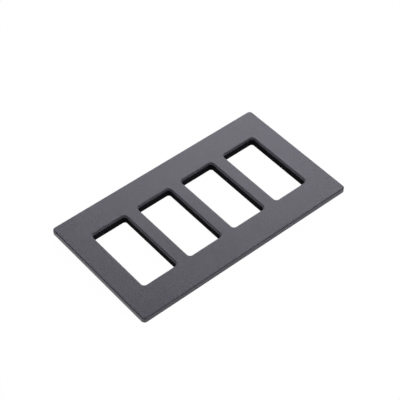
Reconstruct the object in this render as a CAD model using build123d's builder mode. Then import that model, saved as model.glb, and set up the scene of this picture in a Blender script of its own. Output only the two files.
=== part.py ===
from build123d import *
from math import radians, tan
import os

os.makedirs("parts", exist_ok=True)

# A snap-fit wall plate for four rocker devices side by side, in millimetres.
# The origin is the middle of the back plane. +X runs along the plate, +Y points
# to a long edge, and +Z points out of the face.

# Outline and gangs
gang_count = 4
gang_pitch = 46.04
end_margin = 37.34  # from the middle of an end opening to the end of the plate
screw_row_spacing = 96.8
edge_margin = 11.15  # from a row of screws to the long edge beside it
plate_depth = 9.5  # from the back plane to the face
plate_length = 2 * end_margin + (gang_count - 1) * gang_pitch
plate_width = screw_row_spacing + 2 * edge_margin

# Front cover
rim_height = 4.7
cover_wall = 1.8
cover_face = 1.8
corner_radius = 3.3
edge_radius = 1.2
rim_foot_radius = 0.3
smallest_radius = 0.3

# Device openings, and the lip that turns down round each of them
opening_width = 33.9
opening_height = 67.3
opening_corner = 3.1
opening_edge = 1.1
lip_depth = 2.2

# Collars of the sub-plate, set back a little from the cover's openings
collar_setback = 0.6
collar_corner = 2.5
collar_wall = 1.5

# Snap hooks on the cover and ratchet racks on the sub-plate
hook_stand_off = 1.0
hook_thick = 1.4
hook_width = 12.0
hook_gap = 0.3  # running clearance between a hook and the rack it slides over
hook_end = 0.8  # height of a hook's tip above the back plane
barb_land = 0.3
catch_play = 0.1
tooth_height = 1.0
tooth_pitch = 1.2
tooth_rise = 1.1
tooth_count = 3
first_tooth = 2.6  # height of the lowest tooth's flat above the back plane
rack_margin = 2.0
end_hook_spacing = 56.0
gusset_thick = 1.2
gusset_drop = 2.0

# Sub-plate
rail_thick = 1.6
rail_corner = 2.5
rail_head_room = 0.8
web_thick = 2.0
web_drop = 1.5
rib_thick = 1.2
rib_gap = 0.3
rib_offset = 3.8  # from a collar to the long rib beside it
merge = 0.4  # how far an added feature reaches into the wall that carries it

# Screw bosses, and the screws held in them
boss_radius = 4.9
lug_height = 1.5  # room at the back for the raised, tapped lug of a device strap
head_room = 0.85  # from the screws' heads to the cover above them
tip_clearance = 0.3
thread_radius = 1.75
tip_chamfer = 0.3
neck_radius = 1.35
head_radius = 3.4
head_land = 0.3
head_angle = 82.0
slot_width = 1.0
slot_depth = 0.8
hole_clearance = 0.2
seat_clearance = 0.08

# Notch in the far rim, where a flat blade lifts the cover off
notch_width = 9.0
notch_depth = 1.6

# Heights above the back plane
cover_under = plate_depth - cover_face
seat_level = plate_depth - lip_depth
rim_foot = plate_depth - rim_height
web_top = seat_level - web_drop
web_under = web_top - web_thick
rail_top = cover_under - rail_head_room
head_top = cover_under - head_room
head_slope = tan(radians(head_angle / 2))
cone_foot = head_top - head_land - (head_radius - neck_radius) / head_slope

# Distances in from the outline of the cover, along any of its four sides
hook_outside = cover_wall + hook_stand_off
hook_inside = hook_outside + hook_thick
tooth_tip = hook_inside + hook_gap
rail_outside = tooth_tip + tooth_height
rail_inside = rail_outside + rail_thick
barb_tip = rail_outside - hook_gap

# Sizes of the rounded outlines that share the openings' centres
collar_width = opening_width + 2 * collar_setback
collar_height = opening_height + 2 * collar_setback
collar_outer_width = collar_width + 2 * collar_wall
collar_outer_height = collar_height + 2 * collar_wall
collar_outer_corner = collar_corner + collar_wall
long_rib_y = collar_outer_height / 2 + rib_offset


def inner_radius(outer, wall):
    """Radius inside a rounded corner, kept above the smallest that can be moulded."""
    return max(outer - wall, smallest_radius)


def side_planes(along_length, along_width):
    """Planes square to each side, with X pointing in from the outline and Y pointing up."""
    planes = []
    for side in (1, -1):
        for x in along_length:
            planes.append(Plane((x, side * plate_width / 2, 0), (0, -side, 0), (-side, 0, 0)))
        for y in along_width:
            planes.append(Plane((side * plate_length / 2, y, 0), (-side, 0, 0), (0, side, 0)))
    return planes


gang_centres = [(gang - (gang_count - 1) / 2) * gang_pitch for gang in range(gang_count)]
catch_planes = side_planes(gang_centres, (-end_hook_spacing / 2, end_hook_spacing / 2))

# Front cover: a shallow tray, face up, with its rim turned down
with BuildPart() as front_cover:
    with BuildSketch(Plane.XY.offset(rim_foot)):
        RectangleRounded(plate_length, plate_width, corner_radius)
    extrude(amount=rim_height)
    with BuildSketch(Plane.XY.offset(rim_foot)):
        RectangleRounded(
            plate_length - 2 * cover_wall,
            plate_width - 2 * cover_wall,
            inner_radius(corner_radius, cover_wall),
        )
    extrude(amount=cover_under - rim_foot, mode=Mode.SUBTRACT)

    # Lips round the openings, which seat on the sub-plate's collars
    with BuildSketch(Plane.XY.offset(seat_level)):
        with GridLocations(gang_pitch, 0, gang_count, 1):
            RectangleRounded(collar_outer_width, collar_outer_height, collar_outer_corner)
    extrude(amount=cover_under + merge - seat_level)

    # Ribs under the face: one along each bar between openings, and two long ones
    with BuildSketch(Plane.XY.offset(web_top + rib_gap)):
        with GridLocations(gang_pitch, 0, gang_count - 1, 1):
            Rectangle(rib_thick, plate_width - 2 * (rail_inside + rib_gap))
        with GridLocations(0, 2 * long_rib_y, 1, 2):
            Rectangle(plate_length - 2 * (rail_inside + rib_gap), rib_thick)
    extrude(amount=cover_under + merge - web_top - rib_gap)

    # Snap hooks: straight springs with an inward barb, flat above and sloped below
    barb_flat = first_tooth - catch_play
    for plane in catch_planes:
        with BuildSketch(plane):
            with BuildLine():
                Polyline(
                    (hook_outside, cover_under + merge),
                    (hook_inside, cover_under + merge),
                    (hook_inside, barb_flat),
                    (barb_tip, barb_flat),
                    (barb_tip, barb_flat - barb_land),
                    (hook_inside - hook_thick / 2, hook_end),
                    (hook_outside, hook_end),
                    close=True,
                )
            make_face()
        extrude(amount=hook_width / 2, both=True)
        for shift in (-1, 1):
            with BuildSketch(plane.offset(shift * (hook_width - gusset_thick) / 2)):
                with BuildLine():
                    Polyline(
                        (cover_wall - merge, cover_under + merge),
                        (hook_outside + merge, cover_under + merge),
                        (hook_outside + merge, cover_under - gusset_drop),
                        (cover_wall - merge, rim_foot + rim_foot_radius),
                        close=True,
                    )
                make_face()
            extrude(amount=gusset_thick / 2, both=True)

    # Openings through face and lips
    with BuildSketch(Plane.XY.offset(seat_level)):
        with GridLocations(gang_pitch, 0, gang_count, 1):
            RectangleRounded(opening_width, opening_height, opening_corner)
    extrude(amount=lip_depth, mode=Mode.SUBTRACT)

    # Rounded edges of the face, the openings and the foot of the rim
    face = front_cover.faces().sort_by(Axis.Z)[-1]
    fillet(face.outer_wire().edges(), edge_radius)
    face = front_cover.faces().sort_by(Axis.Z)[-1]
    fillet([edge for wire in face.inner_wires() for edge in wire.edges()], opening_edge)
    foot = front_cover.faces().filter_by(
        lambda f: abs(f.center().Z - rim_foot) < smallest_radius / 10
        and f.normal_at().Z < 0
        and f.bounding_box().size.X > plate_length / 2
    )[0]
    fillet(foot.outer_wire().edges(), rim_foot_radius)

    # Blade notch in the middle of the far rim
    with BuildSketch(Plane.XZ.offset(-plate_width / 2)):
        with Locations((0, rim_foot)):
            Rectangle(notch_width, 2 * notch_depth)
    extrude(amount=cover_wall, mode=Mode.SUBTRACT)

front_cover.part.label = "front_cover"
export_step(front_cover.part, "parts/front_cover.step")

# Sub-plate: rail, web and collars in one moulding, with racks outside and bosses inside
with BuildPart() as sub_plate:
    with BuildSketch():
        RectangleRounded(
            plate_length - 2 * rail_outside, plate_width - 2 * rail_outside, rail_corner
        )
        RectangleRounded(
            plate_length - 2 * rail_inside,
            plate_width - 2 * rail_inside,
            inner_radius(rail_corner, rail_thick),
            mode=Mode.SUBTRACT,
        )
    extrude(amount=rail_top)
    with BuildSketch(Plane.XY.offset(web_under)):
        Rectangle(
            plate_length - 2 * rail_inside + 2 * merge,
            plate_width - 2 * rail_inside + 2 * merge,
        )
    extrude(amount=web_thick)
    with BuildSketch():
        with GridLocations(gang_pitch, 0, gang_count, 1):
            RectangleRounded(collar_outer_width, collar_outer_height, collar_outer_corner)
    extrude(amount=seat_level)

    # Ribs behind the web: across the bars, beside the collars, and from boss to collar
    with BuildSketch(Plane.XY.offset(lug_height)):
        with GridLocations(gang_pitch, 0, gang_count + 1, 1):
            Rectangle(rib_thick, plate_width - 2 * rail_inside + 2 * merge)
        with GridLocations(0, 2 * long_rib_y, 1, 2):
            Rectangle(plate_length - 2 * rail_inside + 2 * merge, rib_thick)
        with GridLocations(gang_pitch, 0, gang_count, 1):
            Rectangle(rib_thick, screw_row_spacing)
    extrude(amount=web_under + merge - lug_height)

    # Screw bosses
    with BuildSketch(Plane.XY.offset(lug_height)):
        with GridLocations(gang_pitch, screw_row_spacing, gang_count, 2):
            Circle(boss_radius)
    extrude(amount=head_top - lug_height)

    # Ratchet racks: teeth flat below and sloped above, so the cover slides on and stays
    for plane in catch_planes:
        with BuildSketch(plane):
            with BuildLine():
                profile = [(rail_outside + merge, first_tooth)]
                for tooth in range(tooth_count):
                    flat = first_tooth + tooth * tooth_pitch
                    profile.append((rail_outside, flat))
                    profile.append((tooth_tip, flat))
                    profile.append((rail_outside, flat + tooth_rise))
                profile.append((rail_outside + merge, flat + tooth_rise))
                Polyline(*profile[1:], profile[0], close=True)
            make_face()
        extrude(amount=hook_width / 2 + rack_margin, both=True)

    # Openings through the collars
    with BuildSketch():
        with GridLocations(gang_pitch, 0, gang_count, 1):
            RectangleRounded(collar_width, collar_height, collar_corner)
    extrude(amount=seat_level, mode=Mode.SUBTRACT)

    # Countersunk holes through the bosses
    with Locations(Plane.XY.offset(head_top)):
        with GridLocations(gang_pitch, screw_row_spacing, gang_count, 2):
            CounterSinkHole(
                radius=thread_radius + hole_clearance,
                counter_sink_radius=head_radius + seat_clearance + head_land * head_slope,
                depth=head_top - lug_height,
                counter_sink_angle=head_angle,
            )

sub_plate.part.label = "sub_plate"
export_step(sub_plate.part, "parts/sub_plate.step")


def mounting_screw(x, y):
    """A short flat-head screw with a relieved neck, turned about its own axis."""
    with BuildPart() as screw:
        with BuildSketch(Plane.XZ):
            with BuildLine():
                Polyline(
                    (0, tip_clearance),
                    (thread_radius - tip_chamfer, tip_clearance),
                    (thread_radius, tip_clearance + tip_chamfer),
                    (thread_radius, lug_height),
                    (neck_radius, lug_height),
                    (neck_radius, cone_foot),
                    (head_radius, head_top - head_land),
                    (head_radius, head_top),
                    (0, head_top),
                    close=True,
                )
            make_face()
        revolve(axis=Axis.Z)
        with BuildSketch(Plane.XY.offset(head_top)):
            Rectangle(3 * head_radius, slot_width)
        extrude(amount=-slot_depth, mode=Mode.SUBTRACT)
    return screw.part.moved(Location((x, y, 0)))


for row, side in (("top", 1), ("bottom", -1)):
    for number, x in enumerate(gang_centres, start=1):
        screw_part = mounting_screw(x, side * screw_row_spacing / 2)
        screw_part.label = f"{row}_screw_{number}"
        export_step(screw_part, f"parts/{row}_screw_{number}.step")
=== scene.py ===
"""Looks of a screwless wall plate for four rocker devices.

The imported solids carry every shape: a charcoal cover over a black sub-plate, and eight short
screws. This script gives them their finishes and sets them on white paper, inside a low white
sweep and under three soft lamps, with the camera at the photograph's viewing angle. Lengths are
metres; MM turns millimetres into metres.
"""

import math

import bpy
from mathutils import Matrix, Vector


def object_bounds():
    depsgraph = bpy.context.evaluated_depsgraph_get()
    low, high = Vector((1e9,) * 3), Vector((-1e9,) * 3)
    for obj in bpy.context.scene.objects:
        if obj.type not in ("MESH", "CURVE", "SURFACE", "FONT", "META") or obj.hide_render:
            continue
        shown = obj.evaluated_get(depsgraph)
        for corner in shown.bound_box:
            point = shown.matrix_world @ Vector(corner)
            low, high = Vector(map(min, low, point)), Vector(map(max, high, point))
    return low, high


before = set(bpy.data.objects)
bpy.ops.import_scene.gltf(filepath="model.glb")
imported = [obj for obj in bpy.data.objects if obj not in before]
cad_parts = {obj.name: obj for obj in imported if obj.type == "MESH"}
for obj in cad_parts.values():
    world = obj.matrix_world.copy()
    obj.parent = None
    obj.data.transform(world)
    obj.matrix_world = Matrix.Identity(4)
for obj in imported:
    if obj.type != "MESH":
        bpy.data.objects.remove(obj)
cad_low, cad_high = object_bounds()
MM = 0.001


def srgb(code):
    """A hex colour such as "5f5e64" as linear red, green, blue and full alpha."""
    shares = [int(code[i : i + 2], 16) / 255 for i in (0, 2, 4)]
    return [s / 12.92 if s <= 0.04045 else ((s + 0.055) / 1.055) ** 2.4 for s in shares] + [1.0]


def add(tree, kind, settings=None, inputs=None):
    """Adds a node with its settings, and fills its sockets, by name or number, with values or
    with other nodes' outputs."""
    node = tree.nodes.new(kind)
    for name, value in (settings or {}).items():
        setattr(node, name, value)
    for name, value in (inputs or {}).items():
        if isinstance(value, bpy.types.NodeSocket):
            tree.links.new(value, node.inputs[name])
        else:
            node.inputs[name].default_value = value
    return node


def new_material(name):
    """An empty node material, and its tree."""
    material = bpy.data.materials.new(name)
    material.use_nodes = True
    material.node_tree.nodes.clear()
    return material, material.node_tree


# Finishes

SOFT_NOISE = {"Detail": 2.0, "Roughness": 0.6}
MIDDLE_HALF = {"From Min": 0.3, "From Max": 0.7}  # where most of a noise pattern's values lie


def charcoal_abs():
    """ABS moulded in a spark-eroded tool.

    The spark grain is a tenth of a millimetre across, too fine to show, so it is drawn at
    0.65 mm. It makes the face dull and breaks the colour up by a shade or two, and the melt's
    flow shades it faintly over 30 mm.
    """
    material, tree = new_material("charcoal_abs_spark_grain")
    place = add(tree, "ShaderNodeTexCoord").outputs["Object"]
    grain = add(tree, "ShaderNodeTexNoise", inputs={
        "Vector": place, "Scale": 1 / (0.65 * MM), **SOFT_NOISE,
    }).outputs["Fac"]
    flow = add(tree, "ShaderNodeTexNoise", inputs={
        "Vector": place, "Scale": 1 / (30 * MM), **SOFT_NOISE,
    }).outputs["Fac"]
    grain_shade = add(tree, "ShaderNodeMapRange", inputs={
        "Value": grain, **MIDDLE_HALF, "To Min": 0.0, "To Max": 0.7,
    }).outputs["Result"]
    flow_shade = add(tree, "ShaderNodeMapRange", inputs={
        "Value": flow, **MIDDLE_HALF, "To Min": 0.0, "To Max": 0.3,
    }).outputs["Result"]
    shade = add(tree, "ShaderNodeMath", {"operation": "ADD"}, {0: grain_shade, 1: flow_shade})
    colour = add(tree, "ShaderNodeMix", {"data_type": "RGBA"}, {
        0: shade.outputs[0], 6: srgb("4c4a52"), 7: srgb("65636b"),
    }).outputs[2]
    roughness = add(tree, "ShaderNodeMapRange", inputs={
        "Value": grain, **MIDDLE_HALF, "To Min": 0.32, "To Max": 0.38,
    }).outputs["Result"]
    bump = add(tree, "ShaderNodeBump", inputs={
        "Height": grain, "Distance": 0.05 * MM, "Strength": 1.0,
    }).outputs["Normal"]
    plastic = add(tree, "ShaderNodeBsdfPrincipled", inputs={
        "Base Color": colour, "Roughness": roughness, "IOR": 1.5, "Normal": bump,
    })
    add(tree, "ShaderNodeOutputMaterial", inputs={"Surface": plastic.outputs[0]})
    return material


def black_polycarbonate():
    """Polycarbonate moulded black in a tool with a coarse dull finish, so it hardly shines."""
    material, tree = new_material("black_polycarbonate_dull")
    place = add(tree, "ShaderNodeTexCoord").outputs["Object"]
    grain = add(tree, "ShaderNodeTexNoise", inputs={
        "Vector": place, "Scale": 1 / (0.8 * MM), **SOFT_NOISE,
    }).outputs["Fac"]
    flow = add(tree, "ShaderNodeTexNoise", inputs={
        "Vector": place, "Scale": 1 / (12 * MM), **SOFT_NOISE,
    }).outputs["Fac"]
    flow_shade = add(tree, "ShaderNodeMapRange", inputs={
        "Value": flow, **MIDDLE_HALF, "To Min": 0.0, "To Max": 1.0,
    }).outputs["Result"]
    colour = add(tree, "ShaderNodeMix", {"data_type": "RGBA"}, {
        0: flow_shade, 6: srgb("26262b"), 7: srgb("2e2e33"),
    }).outputs[2]
    roughness = add(tree, "ShaderNodeMapRange", inputs={
        "Value": grain, **MIDDLE_HALF, "To Min": 0.7, "To Max": 0.8,
    }).outputs["Result"]
    bump = add(tree, "ShaderNodeBump", inputs={
        "Height": grain, "Distance": 0.008 * MM, "Strength": 1.0,
    }).outputs["Normal"]
    plastic = add(tree, "ShaderNodeBsdfPrincipled", inputs={
        "Base Color": colour, "Roughness": roughness, "IOR": 1.5, "Specular IOR Level": 0.08,
        "Normal": bump,
    })
    add(tree, "ShaderNodeOutputMaterial", inputs={"Surface": plastic.outputs[0]})
    return material


def zinc_plated_steel():
    """Turned steel with bright zinc plating, so it shines pale grey with fine dull specks."""
    material, tree = new_material("zinc_plated_steel")
    place = add(tree, "ShaderNodeTexCoord").outputs["Object"]
    specks = add(tree, "ShaderNodeTexNoise", inputs={
        "Vector": place, "Scale": 1 / (0.3 * MM), **SOFT_NOISE,
    }).outputs["Fac"]
    speck_shade = add(tree, "ShaderNodeMapRange", inputs={
        "Value": specks, **MIDDLE_HALF, "To Min": 0.0, "To Max": 1.0,
    }).outputs["Result"]
    colour = add(tree, "ShaderNodeMix", {"data_type": "RGBA"}, {
        0: speck_shade, 6: srgb("9c9d9b"), 7: srgb("b2b3b0"),
    }).outputs[2]
    roughness = add(tree, "ShaderNodeMapRange", inputs={
        "Value": specks, **MIDDLE_HALF, "To Min": 0.3, "To Max": 0.42,
    }).outputs["Result"]
    metal = add(tree, "ShaderNodeBsdfPrincipled", inputs={
        "Base Color": colour, "Metallic": 1.0, "Roughness": roughness,
    })
    add(tree, "ShaderNodeOutputMaterial", inputs={"Surface": metal.outputs[0]})
    return material


def dress(names, material):
    """Gives solids their material."""
    for name in names:
        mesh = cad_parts[name].data
        mesh.materials.clear()
        mesh.materials.append(material)


dress(["front_cover"], charcoal_abs())
dress(["sub_plate"], black_polycarbonate())
dress([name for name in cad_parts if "screw" in name], zinc_plated_steel())


# Studio

FLOOR_HALF = 4.0
FLOOR_GLOW = 0.97  # the rest is the paper's own light, and a lower glow shows more shadow
SEEN_GLOW = 1.023  # so that glow and paper together come to white, which is 1
MIRRORED_SHARE = 1.0  # how much of the glow the plate's gloss mirrors from the paper round it
SHADED_SHARE = 0.3  # and from the paper in its openings and close to it: a painted shade in the glow, in place of the plate's shadow
SHADE_START, SHADE_END = 1 * MM, 7 * MM  # distances from the plate's long sides, over which the painted shade fades out
NARROWER_AT_ENDS = 2.5  # the painted shade beside the two short ends is narrower by this

# Directions in degrees: azimuth from the x axis, height from the floor. Metres and watts.
LAMPS = {
    "back": {"azimuth": 45, "height": 39, "distance": 4.0, "size": (2.52, 1.85), "power": 62},
    "side": {"azimuth": 138, "height": 5, "distance": 4.0, "size": (3.3, 0.64), "power": 9},
    "high": {"azimuth": -45, "height": 59, "distance": 4.0, "size": (1.64, 0.98), "power": 21},
}
LAMP_COLOUR = "f6f5ff"

# The surroundings by their height above the horizon, as sines: a lit white sweep, and a dark room.
SWEEP_LIGHT = 2.6
SWEEP_TOP = math.sin(math.radians(5))
ROOM_START = math.sin(math.radians(7))
ROOM_LIGHT = 0.0
MIRRORED_BACKDROP = 1.0  # how much of the white the gloss mirrors from the backdrop
MIRRORED_CEILING = 0.2  # and from the ceiling, which is out of the picture and dim
BACKDROP_TOP = math.sin(math.radians(20))
CEILING_START = math.sin(math.radians(40))


def seen_glow(tree):
    """How much of the paper is glow, by the kind of ray that meets it.

    The camera meets nearly all glow, also through glass. A mirrored ray meets SHADED_SHARE of it
    inside the plate's outline, which rises smoothly to MIRRORED_SHARE beside the plate. This is a
    painted shade round the plate and in its openings, in place of the plate's shadow.
    """
    ray = add(tree, "ShaderNodeLightPath").outputs
    place = add(tree, "ShaderNodeTexCoord").outputs["Object"]
    across = add(tree, "ShaderNodeSeparateXYZ", inputs={"Vector": place}).outputs
    off_centre_x = add(tree, "ShaderNodeMath", {"operation": "ABSOLUTE"}, {0: across["X"]})
    off_centre_y = add(tree, "ShaderNodeMath", {"operation": "ABSOLUTE"}, {0: across["Y"]})
    past_ends = add(tree, "ShaderNodeMath", {"operation": "SUBTRACT"}, {
        0: off_centre_x.outputs[0], 1: cad_high.x,
    })
    past_sides = add(tree, "ShaderNodeMath", {"operation": "SUBTRACT"}, {
        0: off_centre_y.outputs[0], 1: cad_high.y,
    })
    past_ends_wide = add(tree, "ShaderNodeMath", {"operation": "MULTIPLY"}, {
        0: past_ends.outputs[0], 1: NARROWER_AT_ENDS,
    })
    past_outline = add(tree, "ShaderNodeMath", {"operation": "MAXIMUM"}, {
        0: past_ends_wide.outputs[0], 1: past_sides.outputs[0],
    })
    # painted shade: mirrored rays see less glow inside the plate's outline and close to it
    gloss = add(tree, "ShaderNodeMapRange", {"interpolation_type": "SMOOTHSTEP"}, {
        "Value": past_outline.outputs[0], "From Min": SHADE_START, "From Max": SHADE_END,
        "To Min": SHADED_SHARE, "To Max": MIRRORED_SHARE,
    })
    mirrored = add(tree, "ShaderNodeMath", {"operation": "MULTIPLY"}, {
        0: ray["Is Glossy Ray"], 1: gloss.outputs["Result"],
    })
    straight = add(tree, "ShaderNodeMath", {"operation": "MAXIMUM"}, {
        0: ray["Is Camera Ray"], 1: ray["Is Transmission Ray"],
    })
    seen = add(tree, "ShaderNodeMath", {"operation": "MULTIPLY"}, {
        0: straight.outputs[0], 1: FLOOR_GLOW,
    })
    share = add(tree, "ShaderNodeMath", {"operation": "MAXIMUM"}, {
        0: seen.outputs[0], 1: mirrored.outputs[0],
    })
    return share.outputs[0]


def paper_floor():
    """White paper under the plate. It glows to the camera, so it comes out white, and only a
    trace of the plate's shadow is left, too little to see."""
    z = cad_low.z
    corners = [
        (-FLOOR_HALF, -FLOOR_HALF, z), (FLOOR_HALF, -FLOOR_HALF, z),
        (FLOOR_HALF, FLOOR_HALF, z), (-FLOOR_HALF, FLOOR_HALF, z),
    ]
    mesh = bpy.data.meshes.new("floor")
    mesh.from_pydata(corners, [], [(0, 1, 2, 3)])
    floor = bpy.data.objects.new("floor", mesh)
    bpy.context.scene.collection.objects.link(floor)
    material, tree = new_material("white_paper")
    share = seen_glow(tree)
    paper = add(tree, "ShaderNodeBsdfDiffuse", inputs={"Color": srgb("eeeeee")})
    glow = add(tree, "ShaderNodeEmission", inputs={
        "Color": srgb("ffffff"), "Strength": SEEN_GLOW,
    })
    mix = add(tree, "ShaderNodeMixShader", inputs={
        0: share, 1: paper.outputs[0], 2: glow.outputs[0],
    })
    add(tree, "ShaderNodeOutputMaterial", inputs={"Surface": mix.outputs[0]})
    mesh.materials.append(material)


def room():
    """A lit white sweep up to a low height all round, and a dark room above it.

    The camera meets plain white, also through glass. A mirrored ray meets a white backdrop that
    fades into a dim ceiling.
    """
    world = bpy.data.worlds.new("room")
    world.use_nodes = True
    tree = world.node_tree
    tree.nodes.clear()
    ray = add(tree, "ShaderNodeLightPath").outputs
    direction = add(tree, "ShaderNodeTexCoord").outputs["Generated"]
    height = add(tree, "ShaderNodeSeparateXYZ", inputs={"Vector": direction}).outputs["Z"]
    sweep = add(tree, "ShaderNodeMapRange", {"interpolation_type": "SMOOTHSTEP"}, {
        "Value": height, "From Min": SWEEP_TOP, "From Max": ROOM_START,
        "To Min": SWEEP_LIGHT, "To Max": ROOM_LIGHT,
    })
    backdrop = add(tree, "ShaderNodeMapRange", {"interpolation_type": "SMOOTHSTEP"}, {
        "Value": height, "From Min": BACKDROP_TOP, "From Max": CEILING_START,
        "To Min": MIRRORED_BACKDROP, "To Max": MIRRORED_CEILING,
    })
    mirrored = add(tree, "ShaderNodeMath", {"operation": "MULTIPLY"}, {
        0: ray["Is Glossy Ray"], 1: backdrop.outputs["Result"],
    })
    straight = add(tree, "ShaderNodeMath", {"operation": "MAXIMUM"}, {
        0: ray["Is Camera Ray"], 1: ray["Is Transmission Ray"],
    })
    white = add(tree, "ShaderNodeMath", {"operation": "MAXIMUM"}, {
        0: straight.outputs[0], 1: mirrored.outputs[0],
    })
    strength = add(tree, "ShaderNodeMath", {"operation": "MAXIMUM"}, {
        0: sweep.outputs["Result"], 1: white.outputs[0],
    })
    light = add(tree, "ShaderNodeBackground", inputs={
        "Color": srgb(LAMP_COLOUR), "Strength": strength.outputs[0],
    })
    add(tree, "ShaderNodeOutputWorld", inputs={"Surface": light.outputs[0]})
    bpy.context.scene.world = world


def soft_lamp(name, azimuth, height, distance, size, power):
    """A rectangular soft lamp that faces the plate's middle, in a direction and at a distance."""
    lamp = bpy.data.lights.new(name, "AREA")
    lamp.shape = "RECTANGLE"
    lamp.size, lamp.size_y = size
    lamp.energy = power
    lamp.color = srgb(LAMP_COLOUR)[:3]
    obj = bpy.data.objects.new(name, lamp)
    turn, rise = math.radians(azimuth), math.radians(height)
    toward = Vector((
        math.cos(turn) * math.cos(rise), math.sin(turn) * math.cos(rise), math.sin(rise),
    ))
    obj.location = toward * distance
    obj.rotation_mode = "QUATERNION"
    obj.rotation_quaternion = (-toward * distance).to_track_quat("-Z", "Y")
    bpy.context.scene.collection.objects.link(obj)


paper_floor()
room()
for lamp_name, lamp_settings in LAMPS.items():
    soft_lamp(lamp_name, **lamp_settings)


# Camera, solved from the plate's outline and openings in the photograph

CAMERA_PLACE = Vector((-447.4, -527.6, 783.5)) * MM
CAMERA_AIM = Vector((4.93, 6.84, 9.5)) * MM
CAMERA_ROLL = math.radians(0.2)
LENS_MM = 114.83
SENSOR_MM = 36.0
CLIP_START, CLIP_END = 0.05, 20.0


def photo_camera():
    """The camera at the photograph's place, turned a hair about its own axis."""
    data = bpy.data.cameras.new("photo_camera")
    data.sensor_width = SENSOR_MM
    data.lens = LENS_MM
    data.clip_start, data.clip_end = CLIP_START, CLIP_END
    obj = bpy.data.objects.new("photo_camera", data)
    obj.location = CAMERA_PLACE
    upright = (CAMERA_AIM - CAMERA_PLACE).to_track_quat("-Z", "Y").to_matrix()
    obj.rotation_mode = "QUATERNION"
    obj.rotation_quaternion = (upright @ Matrix.Rotation(CAMERA_ROLL, 3, "Z")).to_quaternion()
    bpy.context.scene.collection.objects.link(obj)
    bpy.context.scene.camera = obj


photo_camera()
bpy.context.scene.view_settings.view_transform = "Standard"
